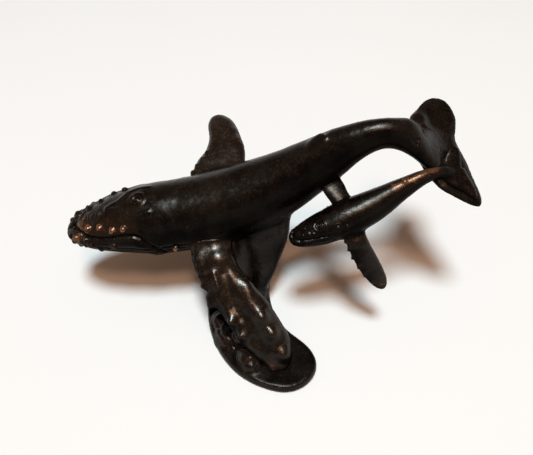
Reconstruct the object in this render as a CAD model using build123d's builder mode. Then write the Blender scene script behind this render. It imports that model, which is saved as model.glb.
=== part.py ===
"""Humpback whale swimming with her calf, a small cast bronze figurine on a wave-shaped foot.

Each animal is a body casting whose flippers and flukes are cast apart and joined on dowels.
A pair of studs carries the mother on the foot. The calf hangs from her flank and her left fluke.

Millimetres, +Z up. The origin is on the table, in the mother's midplane.
The mother's head points along -X and her left side faces -Y.
"""

import os
from math import cos, pi, radians, sin

from build123d import *

# Mother, nose to fluke root
NOSE_REACH = 57.0
TAIL_REACH = 50.5
NOSE_HEIGHT = 21.4
ARCH_RISE = 29.8
TAIL_BEND = 4.0
MOTHER_HALF_WIDTH = 11.2
MOTHER_HALF_HEIGHT = 10.9
MOTHER_ROLL_DEG = 25.0
DORSAL_HEIGHT = 1.5
DORSAL_LENGTH = 7.4
DORSAL_THICKNESS = 3.4
WART_RADIUS = 1.0

# Mother's flippers, measured from her spine
LEFT_FLIPPER_REACH = 42.6
LEFT_FLIPPER_SWEEP = 13.4
RIGHT_FLIPPER_REACH = 35.0
RIGHT_FLIPPER_SWEEP = 3.4
RIGHT_FLIPPER_RISE = 7.8
FLIPPER_CHORD = 14.6
FLIPPER_THICKNESS = 4.6

# Mother's flukes
FLUKE_SPAN = 33.2
FLUKE_CHORD = 14.0
FLUKE_THICKNESS = 3.0
FLUKE_SWEEP = 8.0
FLUKE_SETBACK = 1.8
FLUKE_OFFSET = 0.8
FLUKE_ROLL_DEG = 25.0
FLUKE_PITCH_DEG = 10.0

# Calf, placed from the mother's left fluke
CALF_REACH = 44.8
CALF_NOSE_OUT = 7.5
CALF_NOSE_DROP = 13.4
CALF_SAG = 2.4
CALF_HALF_WIDTH = 5.2
CALF_HALF_HEIGHT = 5.0
CALF_ROLL_DEG = 26.0
CALF_FLIPPER_REACH = 13.8
CALF_FLIPPER_DROP = 16.6
CALF_FLIPPER_SWEEP = 8.8
CALF_FLIPPER_CHORD = 6.2
CALF_FLIPPER_THICKNESS = 2.4
CALF_FLUKE_SPAN = 16.0
CALF_FLUKE_CHORD = 7.6
CALF_FLUKE_THICKNESS = 1.8
CALF_FLUKE_SWEEP = 4.0
CALF_FLUKE_SETBACK = 2.0
CALF_FLUKE_ROLL_DEG = 29.0

# Foot and the wave that rises from it
FOOT_WIDTH = 30.4
FOOT_FRONT = 48.5
FOOT_REAR = 9.5
FOOT_THICKNESS = 2.6
FOOT_EDGE_RADIUS = 1.0
WAVE_WIDTH = 19.0
WAVE_DEPTH = 30.0
ROCK_RADIUS = 4.6

# Dowels, studs and seats
FLIPPER_DOWEL_RADIUS = 1.0
FLIPPER_DOWEL_LENGTH = 11.0
FLUKE_DOWEL_RADIUS = 0.7
FLUKE_DOWEL_LENGTH = 8.0
CALF_DOWEL_RADIUS = 0.55
CALF_DOWEL_LENGTH = 5.0
GRIP_DOWEL_LENGTH = 10.4
TACK_RADIUS = 0.4
TACK_LENGTH = 2.0
STUD_RADIUS = 1.5
STUD_LENGTH = 16.0
STUD_SPACING = 7.0
STUD_OUT = 3.0
DOWEL_CLEARANCE = 0.03
SEAT_DEPTH = 0.5

GIRTH_POINTS = 12

# Spine of the mother: share of her length, of her tail bend and of her arch
MOTHER_SPINE_SHARES = (
    (0.0, 0.0, 0.0),
    (0.18, 0.0, 0.08),
    (0.39, 0.0, 0.14),
    (0.575, 0.0, 0.38),
    (0.735, 0.22, 0.78),
    (0.86, 0.6, 1.0),
    (0.94, 0.83, 0.9),
    (1.0, 1.0, 0.72),
)
# Girths of the mother: share along the spine, then of half width, upper and lower half height, and roll
MOTHER_GIRTH_SHARES = (
    (0.006, 0.22, 0.1, 0.2, 0.36),
    (0.026, 0.43, 0.24, 0.38, 0.36),
    (0.07, 0.65, 0.47, 0.6, 0.36),
    (0.115, 0.79, 0.67, 0.74, 0.36),
    (0.16, 0.88, 0.82, 0.86, 0.34),
    (0.21, 0.96, 0.93, 0.95, 0.32),
    (0.29, 0.99, 0.98, 1.0, 0.28),
    (0.4, 1.0, 1.0, 1.0, 0.22),
    (0.5, 0.93, 0.95, 0.95, 0.14),
    (0.6, 0.77, 0.8, 0.8, 0.04),
    (0.69, 0.6, 0.67, 0.66, 0.0),
    (0.78, 0.42, 0.49, 0.48, 0.2),
    (0.86, 0.34, 0.4, 0.39, 0.46),
    (0.92, 0.44, 0.28, 0.31, 0.72),
    (0.96, 0.54, 0.17, 0.2, 0.87),
    (1.0, 0.38, 0.08, 0.08, 1.0),
)
# Spine of the calf: share of its reach and of its sag
CALF_SPINE_SHARES = (
    (0.0, 0.0), (0.2, 0.3), (0.35, 0.43), (0.55, 0.15), (0.74, -0.78), (0.86, -1.0), (1.0, 0.0),
)
# Girths of the calf, as the mother's
CALF_GIRTH_SHARES = (
    (0.008, 0.3, 0.2, 0.26, 0.05),
    (0.04, 0.52, 0.4, 0.48, 0.05),
    (0.12, 0.75, 0.66, 0.72, 0.06),
    (0.23, 0.93, 0.88, 0.92, 0.08),
    (0.36, 1.0, 1.0, 1.0, 0.12),
    (0.5, 0.88, 0.95, 0.86, 0.22),
    (0.65, 0.64, 0.77, 0.64, 0.42),
    (0.8, 0.42, 0.52, 0.43, 0.66),
    (0.92, 0.32, 0.34, 0.34, 0.86),
    (1.0, 0.26, 0.14, 0.14, 1.0),
)
# Middle lines of the flippers: share of reach, of sweep and of drop or rise
LEFT_FLIPPER_LINE_SHARES = ((0.0, 0.0, 0.0), (0.46, -0.11, 0.34), (0.71, 0.45, 0.63), (1.0, 1.0, 1.0))
RIGHT_FLIPPER_LINE_SHARES = (
    (0.0, 0.0, 0.0), (0.34, 0.0, 0.55), (0.57, 0.6, 0.8), (0.81, 0.5, 0.93), (1.0, -0.3, 1.0),
)
CALF_FLIPPER_LINE_SHARES = ((0.0, 0.0, 0.0), (0.44, 0.15, 0.28), (0.7, 0.53, 0.64), (1.0, 1.0, 1.0))
# Flipper outlines: share along the flipper, of half chord and of half thickness
LEFT_FLIPPER_SHARES = (
    (0.0, 0.88, 1.0),
    (0.25, 0.84, 1.0),
    (0.45, 0.79, 0.97),
    (0.65, 0.86, 0.92),
    (0.82, 0.82, 0.86),
    (0.92, 0.64, 0.76),
    (0.975, 0.4, 0.52),
)
RIGHT_FLIPPER_SHARES = (
    (0.0, 1.15, 1.0),
    (0.25, 1.12, 1.0),
    (0.45, 0.96, 0.95),
    (0.65, 0.74, 0.85),
    (0.82, 0.64, 0.75),
    (0.92, 0.5, 0.6),
    (0.97, 0.32, 0.42),
)
CALF_FLIPPER_SHARES = (
    (0.0, 0.9, 1.0),
    (0.25, 0.96, 1.0),
    (0.45, 1.0, 0.9),
    (0.65, 0.98, 0.8),
    (0.82, 0.86, 0.72),
    (0.92, 0.66, 0.6),
    (0.975, 0.38, 0.42),
)
# Fluke outlines from the left tip to the right: share of span, of half chord, of half thickness
FLUKE_SHARES = (
    (0.025, 0.2, 0.4),
    (0.09, 0.44, 0.56),
    (0.19, 0.7, 0.72),
    (0.3, 0.92, 0.9),
    (0.45, 0.94, 1.0),
    (0.6, 0.92, 1.0),
    (0.72, 0.94, 0.85),
    (0.83, 0.9, 0.75),
    (0.91, 0.76, 0.62),
    (0.97, 0.46, 0.45),
)
CALF_FLUKE_SHARES = (
    (0.025, 0.16, 0.4),
    (0.1, 0.34, 0.6),
    (0.25, 0.6, 0.85),
    (0.4, 0.9, 1.0),
    (0.5, 1.0, 1.0),
    (0.61, 0.82, 0.95),
    (0.75, 0.68, 0.8),
    (0.9, 0.5, 0.6),
    (0.97, 0.28, 0.4),
)
# Middle lines of the flukes: share of span and of the backward sweep
FLUKE_SWEEP_SHARES = (
    (0.0, 0.92), (0.09, 0.73), (0.19, 0.47), (0.3, 0.2), (0.45, 0.02), (0.6, -0.1), (0.75, -0.02),
    (0.9, 0.3), (1.0, 0.6),
)
CALF_FLUKE_SWEEP_SHARES = (
    (0.0, 1.0), (0.1, 0.9), (0.25, 0.55), (0.4, 0.1), (0.5, -0.16), (0.61, -0.2), (0.75, 0.0), (0.9, 0.2),
    (1.0, 0.33),
)
# Dorsal fin: share of its height, then of its length and thickness alike
DORSAL_SHARES = ((-1.0, 1.2), (0.0, 1.0), (0.5, 0.78), (0.85, 0.48))
DORSAL_PLACE_SHARE = 0.7
# Warts on a head: share along the spine and angle in degrees from the right flank, over the back
WART_SHARES = (
    (0.069, 123), (0.099, 128), (0.131, 137), (0.159, 137),
    (0.069, 57), (0.099, 52), (0.131, 43), (0.159, 43),
    (0.03, 150), (0.067, 169), (0.088, 184), (0.127, 168),
    (0.03, 30), (0.067, 11), (0.088, -4), (0.127, 12),
    (0.273, 186), (0.273, -6),
)
WART_SINK_SHARE = 0.3
# Where things join: shares along the mother's spine, the calf's spine and the left fluke
LEFT_FLIPPER_ROOT_SHARE = 0.395
RIGHT_FLIPPER_ROOT_SHARE = 0.405
CALF_FLIPPER_ROOT_SHARE = 0.37
CALF_GRIP_ROOT_SHARE = 0.375
CALF_GRIP_SHARE = 0.672
CALF_SEAT_SHARE = 0.31
WAVE_TOP_SHARE = 0.5
# Where each dowel crosses its joint: share along a flipper's line or a spine
LEFT_JOINT_SHARE = 0.235
RIGHT_JOINT_SHARE = 0.31
CALF_JOINT_SHARE = 0.22
CALF_GRIP_MIDDLE_SHARE = 0.445
FLUKE_JOINT_SHARE = 0.97
FLIPPER_SEAT_SHARE = 0.94
# Foot outline: share of its width, then of its reach to the front (negative) or the rear
FOOT_SHARES = (
    (-0.59, -0.43), (-0.535, -0.65), (-0.365, -0.84), (-0.1, -0.965), (0.12, -1.0), (0.325, -0.95),
    (0.405, -0.865), (0.36, -0.75), (0.21, -0.64), (0.09, -0.5), (0.065, -0.36), (0.115, -0.16),
    (0.18, 0.0), (0.1, 0.74), (-0.13, 1.0), (-0.36, 0.74), (-0.51, -0.02), (-0.58, -0.22),
)
# Wave: share of the way up to the spine, of its width and depth for its middle, of both for its halves
WAVE_SHARES = (
    (0.0, -0.36, -0.36, 0.5, 0.5),
    (0.16, -0.28, -0.31, 0.45, 0.4),
    (0.36, -0.08, -0.23, 0.42, 0.34),
    (0.6, 0.05, -0.16, 0.43, 0.3),
    (0.9, 0.1, -0.06, 0.4, 0.2),
)
# Rocks on the foot: share of its width, of its front reach and of the rock radius
ROCK_SHARES = ((-0.4, -0.62, 1.0), (-0.21, -0.79, 0.9), (-0.47, -0.5, 0.7))


FLIPPER_CHORD_DIRECTION = Vector(1, 0, 0)


def between(table, share, column):
    """Value of a table's column at a share, on a straight line between its rows."""
    for low, high in zip(table, table[1:]):
        if low[0] <= share <= high[0]:
            way = (share - low[0]) / (high[0] - low[0])
            return low[column] + way * (high[column] - low[column])
    return table[0][column] if share < table[0][0] else table[-1][column]


def curve_through(points):
    """Smooth line through points in space."""
    with BuildLine() as line:
        Spline(*points)
    return line.line.edge()


def girth(plane, half_width, upper, lower):
    """Closed oval on a plane, whose upper and lower halves may differ in height."""
    angles = [2 * pi * i / GIRTH_POINTS for i in range(GIRTH_POINTS)]
    points = [(half_width * cos(a), (upper if sin(a) > 0 else lower) * sin(a)) for a in angles]
    with BuildSketch(plane) as oval:
        with BuildLine():
            Spline(*points, periodic=True)
        make_face()
    return oval.sketch


def across(roll_deg):
    """Direction of an animal's right side when its back leans to the left by a roll."""
    return Vector(0, cos(radians(roll_deg)), sin(radians(roll_deg)))


def body_plane(spine, share, roll_deg):
    """Plane square to a spine, with its Y axis out of the animal's back."""
    return Plane(origin=spine @ share, x_dir=across(roll_deg), z_dir=spine % share)


def body_girths(spine, table, half_width, half_height, roll_deg):
    """Ovals of a body along its spine."""
    ovals = []
    for share, wide, up, down, roll in table:
        plane = body_plane(spine, share, roll_deg * roll)
        ovals.append(girth(plane, half_width * wide, half_height * up, half_height * down))
    return ovals


def blade_plane(line, share, chord_direction):
    """Plane square to a blade's middle line, with its X axis toward the trailing edge."""
    return Plane(origin=line @ share, x_dir=chord_direction, z_dir=line % share)


def blade_girths(line, table, chord_direction, chord, thickness):
    """Thin ovals of a flipper or of flukes along the middle line."""
    ovals = []
    for share, wide, deep in table:
        half_chord = chord / 2 * wide
        half_thickness = thickness / 2 * deep
        plane = blade_plane(line, share, chord_direction)
        ovals.append(girth(plane, half_chord, half_thickness, half_thickness))
    return ovals


def skin_planes(spine, table, places, half_width, half_height, roll_deg):
    """Planes facing out of a body's skin: share along the spine, angle from the right flank over the back."""
    planes = []
    for share, angle_deg in places:
        angle = radians(angle_deg)
        high = half_height * between(table, share, 2 if sin(angle) > 0 else 3)
        wide = half_width * between(table, share, 1)
        plane = body_plane(spine, share, roll_deg * between(table, share, 4))
        outward = plane.x_dir * cos(angle) + plane.y_dir * sin(angle)
        place = plane.from_local_coords((wide * cos(angle), high * sin(angle), 0))
        planes.append(Plane(origin=place, x_dir=plane.z_dir, z_dir=outward))
    return planes


def dorsal_girths(spine, table, half_height, roll_deg):
    """Ovals of the small dorsal fin, from inside the back to its swept tip."""
    plane = body_plane(spine, DORSAL_PLACE_SHARE, roll_deg * between(table, DORSAL_PLACE_SHARE, 4))
    root = plane.origin + plane.y_dir * (half_height * between(table, DORSAL_PLACE_SHARE, 2))
    ovals = []
    for rise, size in DORSAL_SHARES:
        place = root + plane.y_dir * (DORSAL_HEIGHT * rise) + plane.z_dir * (DORSAL_LENGTH / 2 * (1 - size))
        half_length = DORSAL_LENGTH / 2 * size
        half_thickness = DORSAL_THICKNESS / 2 * size
        oval_plane = Plane(origin=place, x_dir=plane.z_dir, z_dir=plane.y_dir)
        ovals.append(girth(oval_plane, half_length, half_thickness, half_thickness))
    return ovals + [Vertex(*(root + plane.y_dir * DORSAL_HEIGHT + plane.z_dir * (DORSAL_LENGTH / 2)))]


def flipper(line, table, chord, thickness):
    """Flipper with a closed tip."""
    girths = blade_girths(line, table, FLIPPER_CHORD_DIRECTION, chord, thickness)
    with BuildPart() as blade:
        loft(girths + [Vertex(*(line @ 1))])
    return blade.part


def flukes(line, table, chord_direction, chord, thickness):
    """Pair of flukes in one piece, closed at both tips."""
    girths = blade_girths(line, table, chord_direction, chord, thickness)
    with BuildPart() as blade:
        loft([Vertex(*(line @ 0))] + girths + [Vertex(*(line @ 1))])
    return blade.part


def fluke_line(centre, span, sweep, sweep_table, roll_deg):
    """Middle line of a pair of flukes from the left tip to the right."""
    side = across(roll_deg)
    return curve_through(
        [centre + side * (span * (share - 1 / 2)) + Vector(sweep * back, 0, 0) for share, back in sweep_table]
    )


def flipper_line(root, sweep, reach, rise, line_table):
    """Middle line of a flipper from the spine to its tip."""
    return curve_through(
        [root + Vector(sweep * back, reach * out, rise * height) for out, back, height in line_table]
    )


def pin(plane, radius, length):
    """Round dowel centred on a plane, along its normal."""
    with BuildPart() as dowel:
        with BuildSketch(plane):
            Circle(radius)
        extrude(amount=length / 2, both=True)
    return dowel.part


def bore(plane, radius, length):
    """Hole for a dowel."""
    return pin(plane, radius + DOWEL_CLEARANCE, length + 2 * DOWEL_CLEARANCE)


def casting(form, cutters):
    """Casting cut back to the pieces that it meets and drilled for its dowels."""
    with BuildPart() as piece:
        add(form)
        for cutter in cutters:
            add(cutter, mode=Mode.SUBTRACT)
    return piece.part


# Mother's body
mother_spine = curve_through(
    [
        ((NOSE_REACH + TAIL_REACH) * along - NOSE_REACH, -TAIL_BEND * bend, NOSE_HEIGHT + ARCH_RISE * rise)
        for along, bend, rise in MOTHER_SPINE_SHARES
    ]
)
mother_sizes = (MOTHER_HALF_WIDTH, MOTHER_HALF_HEIGHT, MOTHER_ROLL_DEG)
mother_girths = body_girths(mother_spine, MOTHER_GIRTH_SHARES, *mother_sizes)
mother_dorsal = dorsal_girths(mother_spine, MOTHER_GIRTH_SHARES, MOTHER_HALF_HEIGHT, MOTHER_ROLL_DEG)
mother_warts = skin_planes(mother_spine, MOTHER_GIRTH_SHARES, WART_SHARES, *mother_sizes)
with BuildPart() as mother_form:
    loft([Vertex(*(mother_spine @ 0))] + mother_girths)
    loft(mother_dorsal)
    with Locations(*[plane.offset(-WART_RADIUS * WART_SINK_SHARE) for plane in mother_warts]):
        Sphere(WART_RADIUS)

# Mother's flukes
fluke_chord_direction = Vector(cos(radians(FLUKE_PITCH_DEG)), 0, -sin(radians(FLUKE_PITCH_DEG)))
mother_fluke_line = fluke_line(
    mother_spine @ 1 + Vector(FLUKE_SETBACK, 0, 0) + across(FLUKE_ROLL_DEG) * FLUKE_OFFSET,
    FLUKE_SPAN, FLUKE_SWEEP, FLUKE_SWEEP_SHARES, FLUKE_ROLL_DEG,
)
mother_flukes_form = flukes(
    mother_fluke_line, FLUKE_SHARES, fluke_chord_direction, FLUKE_CHORD, FLUKE_THICKNESS
)

# Mother's flippers, the left one resting its tip on the foot
left_root = mother_spine @ LEFT_FLIPPER_ROOT_SHARE
left_drop = left_root.Z - (FOOT_THICKNESS - SEAT_DEPTH)
left_line = flipper_line(
    left_root, LEFT_FLIPPER_SWEEP, -LEFT_FLIPPER_REACH, -left_drop, LEFT_FLIPPER_LINE_SHARES
)
left_flipper_form = flipper(left_line, LEFT_FLIPPER_SHARES, FLIPPER_CHORD, FLIPPER_THICKNESS)
right_line = flipper_line(
    mother_spine @ RIGHT_FLIPPER_ROOT_SHARE,
    RIGHT_FLIPPER_SWEEP, RIGHT_FLIPPER_REACH, RIGHT_FLIPPER_RISE, RIGHT_FLIPPER_LINE_SHARES,
)
right_flipper_form = flipper(right_line, RIGHT_FLIPPER_SHARES, FLIPPER_CHORD, FLIPPER_THICKNESS)

# Calf's flukes, lying on the mother's left fluke
seat_plane = blade_plane(mother_fluke_line, CALF_SEAT_SHARE, fluke_chord_direction)
seat_half_thickness = FLUKE_THICKNESS / 2 * between(FLUKE_SHARES, CALF_SEAT_SHARE, 2)
seat_top = seat_plane.origin - seat_plane.y_dir * seat_half_thickness
calf_fluke_centre = seat_top - seat_plane.y_dir * (CALF_FLUKE_THICKNESS / 2 - SEAT_DEPTH)
calf_fluke_line = fluke_line(
    calf_fluke_centre, CALF_FLUKE_SPAN, CALF_FLUKE_SWEEP, CALF_FLUKE_SWEEP_SHARES, CALF_FLUKE_ROLL_DEG
)
calf_flukes_form = flukes(
    calf_fluke_line, CALF_FLUKE_SHARES, fluke_chord_direction, CALF_FLUKE_CHORD, CALF_FLUKE_THICKNESS
)

# Calf's body
calf_tail = calf_fluke_centre - fluke_chord_direction * CALF_FLUKE_SETBACK
calf_nose = calf_tail - Vector(CALF_REACH, CALF_NOSE_OUT, CALF_NOSE_DROP)
calf_spine = curve_through(
    [
        calf_nose + (calf_tail - calf_nose) * along - Vector(0, 0, CALF_SAG * sag)
        for along, sag in CALF_SPINE_SHARES
    ]
)
calf_sizes = (CALF_HALF_WIDTH, CALF_HALF_HEIGHT, CALF_ROLL_DEG)
calf_girths = body_girths(calf_spine, CALF_GIRTH_SHARES, *calf_sizes)
with BuildPart() as calf_form:
    loft([Vertex(*(calf_spine @ 0))] + calf_girths)

# Calf's flippers, the right one holding the mother's flank
calf_left_line = flipper_line(
    calf_spine @ CALF_FLIPPER_ROOT_SHARE,
    CALF_FLIPPER_SWEEP, -CALF_FLIPPER_REACH, -CALF_FLIPPER_DROP, CALF_FLIPPER_LINE_SHARES,
)
calf_right_line = curve_through([calf_spine @ CALF_GRIP_ROOT_SHARE, mother_spine @ CALF_GRIP_SHARE])
calf_flipper_sizes = (CALF_FLIPPER_SHARES, CALF_FLIPPER_CHORD, CALF_FLIPPER_THICKNESS)
calf_left_flipper_form = flipper(calf_left_line, *calf_flipper_sizes)
calf_right_flipper_form = flipper(calf_right_line, *calf_flipper_sizes)

# Foot and wave
wave_top = mother_spine @ WAVE_TOP_SHARE
wave_bottom = FOOT_THICKNESS / 2
wave_girths = [
    girth(
        Plane(origin=(WAVE_WIDTH * x, WAVE_DEPTH * y, wave_bottom + (wave_top.Z - wave_bottom) * up)),
        WAVE_WIDTH * wide, WAVE_DEPTH * deep, WAVE_DEPTH * deep,
    )
    for up, x, y, wide, deep in WAVE_SHARES
]
foot_rim = [(FOOT_WIDTH * x, (FOOT_FRONT if y < 0 else FOOT_REAR) * y) for x, y in FOOT_SHARES]
rocks = [
    (Vector(FOOT_WIDTH * x, FOOT_FRONT * y, FOOT_THICKNESS - ROCK_RADIUS * size / 2), ROCK_RADIUS * size)
    for x, y, size in ROCK_SHARES
]
with BuildPart() as foot_form:
    with BuildSketch():
        with BuildLine():
            Spline(*foot_rim, periodic=True)
        make_face()
    extrude(amount=FOOT_THICKNESS)
    fillet(foot_form.faces().sort_by(Axis.Z)[-1].edges(), FOOT_EDGE_RADIUS)
    loft(wave_girths)
    for place, radius in rocks:
        with Locations(place):
            Sphere(radius)
    split(bisect_by=Plane.XY, keep=Keep.TOP)

# Dowels, each along the line that its joint crosses
tail_joint_direction = (mother_spine % 1 + fluke_chord_direction).normalized()
calf_tail_direction = (calf_spine % 1 + fluke_chord_direction).normalized()
seat_joint = seat_top + seat_plane.y_dir * (SEAT_DEPTH / 2)
flipper_seat = left_line @ FLIPPER_SEAT_SHARE
grip_middle = calf_right_line @ CALF_GRIP_MIDDLE_SHARE
dowels = {
    "mother_left_flipper_dowel": (
        Plane(origin=left_line @ LEFT_JOINT_SHARE, z_dir=left_line % LEFT_JOINT_SHARE),
        FLIPPER_DOWEL_RADIUS, FLIPPER_DOWEL_LENGTH,
    ),
    "mother_right_flipper_dowel": (
        Plane(origin=right_line @ RIGHT_JOINT_SHARE, z_dir=right_line % RIGHT_JOINT_SHARE),
        FLIPPER_DOWEL_RADIUS, FLIPPER_DOWEL_LENGTH,
    ),
    "mother_fluke_dowel": (
        Plane(origin=mother_spine @ FLUKE_JOINT_SHARE, z_dir=tail_joint_direction),
        FLUKE_DOWEL_RADIUS, FLUKE_DOWEL_LENGTH,
    ),
    "calf_left_flipper_dowel": (
        Plane(origin=calf_left_line @ CALF_JOINT_SHARE, z_dir=calf_left_line % CALF_JOINT_SHARE),
        CALF_DOWEL_RADIUS, CALF_DOWEL_LENGTH,
    ),
    "calf_right_flipper_dowel": (
        Plane(origin=grip_middle, z_dir=calf_right_line % CALF_GRIP_MIDDLE_SHARE),
        CALF_DOWEL_RADIUS, GRIP_DOWEL_LENGTH,
    ),
    "calf_fluke_dowel": (
        Plane(origin=calf_spine @ FLUKE_JOINT_SHARE, z_dir=calf_tail_direction),
        TACK_RADIUS, CALF_DOWEL_LENGTH,
    ),
    "calf_seat_tack": (Plane(origin=seat_joint, z_dir=seat_plane.y_dir), TACK_RADIUS, TACK_LENGTH),
    "flipper_seat_tack": (
        Plane(origin=(flipper_seat.X, flipper_seat.Y, FOOT_THICKNESS)), TACK_RADIUS, TACK_LENGTH,
    ),
}
bores = {name: bore(*sizes) for name, sizes in dowels.items()}
stud_joint_height = wave_top.Z - MOTHER_HALF_HEIGHT * between(MOTHER_GIRTH_SHARES, WAVE_TOP_SHARE, 3)
stud_planes = [Plane(origin=(side * STUD_SPACING / 2, -STUD_OUT, stud_joint_height)) for side in (-1, 1)]
stud_bores = [bore(plane, STUD_RADIUS, STUD_LENGTH) for plane in stud_planes]

# Castings cut to each other and drilled
mother_body = casting(
    mother_form.part,
    [
        mother_flukes_form, bores["mother_left_flipper_dowel"], bores["mother_right_flipper_dowel"],
        bores["mother_fluke_dowel"], bores["calf_right_flipper_dowel"], *stud_bores,
    ],
)
mother_flukes = casting(mother_flukes_form, [bores["mother_fluke_dowel"], bores["calf_seat_tack"]])
mother_left_flipper = casting(
    left_flipper_form, [mother_form.part, bores["mother_left_flipper_dowel"], bores["flipper_seat_tack"]]
)
mother_right_flipper = casting(right_flipper_form, [mother_form.part, bores["mother_right_flipper_dowel"]])
calf_body = casting(
    calf_form.part,
    [
        calf_flukes_form, mother_flukes_form, mother_form.part, bores["calf_left_flipper_dowel"],
        bores["calf_right_flipper_dowel"], bores["calf_fluke_dowel"],
    ],
)
calf_flukes = casting(
    calf_flukes_form,
    [mother_flukes_form, mother_form.part, bores["calf_fluke_dowel"], bores["calf_seat_tack"]],
)
calf_left_flipper = casting(calf_left_flipper_form, [calf_form.part, bores["calf_left_flipper_dowel"]])
calf_right_flipper = casting(
    calf_right_flipper_form,
    [calf_form.part, mother_form.part, bores["calf_right_flipper_dowel"]],
)
wave_foot = casting(
    foot_form.part, [mother_form.part, left_flipper_form, bores["flipper_seat_tack"], *stud_bores]
)
with BuildPart() as foot_studs:
    with BuildSketch(*stud_planes):
        Circle(STUD_RADIUS)
    extrude(amount=STUD_LENGTH / 2, both=True)

pieces = {
    "mother_body": mother_body,
    "mother_flukes": mother_flukes,
    "mother_left_flipper": mother_left_flipper,
    "mother_right_flipper": mother_right_flipper,
    "calf_body": calf_body,
    "calf_flukes": calf_flukes,
    "calf_left_flipper": calf_left_flipper,
    "calf_right_flipper": calf_right_flipper,
    "wave_foot": wave_foot,
    "foot_studs": foot_studs.part,
    **{name: pin(*sizes) for name, sizes in dowels.items()},
}
os.makedirs("parts", exist_ok=True)
for name, piece in pieces.items():
    piece.label = name
    export_step(piece, f"parts/{name}.step")
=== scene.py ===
"""Looks of a small cast bronze: a humpback whale, her calf and the wave that carries them.

Each casting starts from its frame node, is given an even skin, and is then modelled in relief.
"""

import logging
import math
from dataclasses import dataclass, field
from enum import Enum
from typing import Iterable, Protocol, Sequence

import bmesh
import bpy
import numpy as np
from mathutils import Matrix, Vector, noise
from mathutils.bvhtree import BVHTree


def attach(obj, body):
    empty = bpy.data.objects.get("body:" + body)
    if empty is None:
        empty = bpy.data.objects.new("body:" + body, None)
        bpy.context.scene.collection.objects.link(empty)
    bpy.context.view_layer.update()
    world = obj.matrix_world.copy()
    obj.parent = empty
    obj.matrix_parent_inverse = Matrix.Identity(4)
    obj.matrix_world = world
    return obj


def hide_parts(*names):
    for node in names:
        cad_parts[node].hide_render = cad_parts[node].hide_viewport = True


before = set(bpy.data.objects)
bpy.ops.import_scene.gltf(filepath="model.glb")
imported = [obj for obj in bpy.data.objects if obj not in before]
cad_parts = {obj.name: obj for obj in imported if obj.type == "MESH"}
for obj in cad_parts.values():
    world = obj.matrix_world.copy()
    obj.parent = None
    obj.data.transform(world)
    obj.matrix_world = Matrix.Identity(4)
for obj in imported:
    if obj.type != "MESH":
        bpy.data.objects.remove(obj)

Colour = tuple[float, float, float, float]
Place = tuple[float, float]
Point = tuple[float, float, float]
Span = tuple[float, float]

LOG = logging.getLogger("scene")
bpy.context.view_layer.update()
BODY = "root"
# Attributes of the rubbed wear, less a painted shadow along the mouth, and of the painted sheen on faces that
# point up.
WEAR_AND_MOUTH_SHADOW = "wear"
PAINTED_SHEEN = "painted_sheen"
MM = 0.001
MERGE_REACH = 0.002 * MM
RAY_REACH = 30.0 * MM
BATCH = 4000
SMOOTHING = {"factor": 0.5, "use_axis_x": True, "use_axis_y": True, "use_axis_z": True}
SEED_STRIDES = (1.0, 1.7, 2.3)
# Blender's Mix node keeps its factor, its two colours and its mixed colour at these numbers.
MIX_FACTOR, MIX_FIRST, MIX_SECOND, MIX_RESULT = 0, 6, 7, 2


class Side(Enum):
    """Sides of an animal that a feature is set on."""

    LEFT = (1,)
    RIGHT = (-1,)
    BOTH = (1, -1)


class Socket:
    """Shader output that is combined with numbers and other outputs by plain operators."""

    def __init__(self, graph: "Graph", output: bpy.types.NodeSocket) -> None:
        """Keeps an output and the graph that new nodes are added to."""
        self.graph = graph
        self.output = output

    def _math(self, operation: str, first: "Socket | float", second: "Socket | float") -> "Socket":
        """Result of a Math node, with the operation under Blender's name."""
        return self.graph.node("ShaderNodeMath", {"operation": operation}, {0: first, 1: second})

    def __add__(self, other: "Socket | float") -> "Socket":
        """Sum."""
        return self._math("ADD", self, other)

    def __sub__(self, other: "Socket | float") -> "Socket":
        """Difference."""
        return self._math("SUBTRACT", self, other)

    def __mul__(self, other: "Socket | float") -> "Socket":
        """Product."""
        return self._math("MULTIPLY", self, other)

    def __rsub__(self, other: "Socket | float") -> "Socket":
        """Difference from a number."""
        return self._math("SUBTRACT", other, self)

    __radd__ = __add__
    __rmul__ = __mul__

    def clamped(self) -> "Socket":
        """Value held between nought and one."""
        return self._math("MAXIMUM", self._math("MINIMUM", self, 1.0), 0.0)

    def ramp(self, low: float, high: float) -> "Socket":
        """Smooth step from nought at low to one at high."""
        inputs = {"Value": self, "From Min": low, "From Max": high}
        return self.graph.node("ShaderNodeMapRange", {"interpolation_type": "SMOOTHSTEP"}, inputs)


@dataclass(frozen=True)
class Grain:
    """Fractal noise of one size: features per metre, octaves, and strength of the finer octaves."""

    scale: float
    detail: float = 3.0
    rough: float = 0.55


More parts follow.
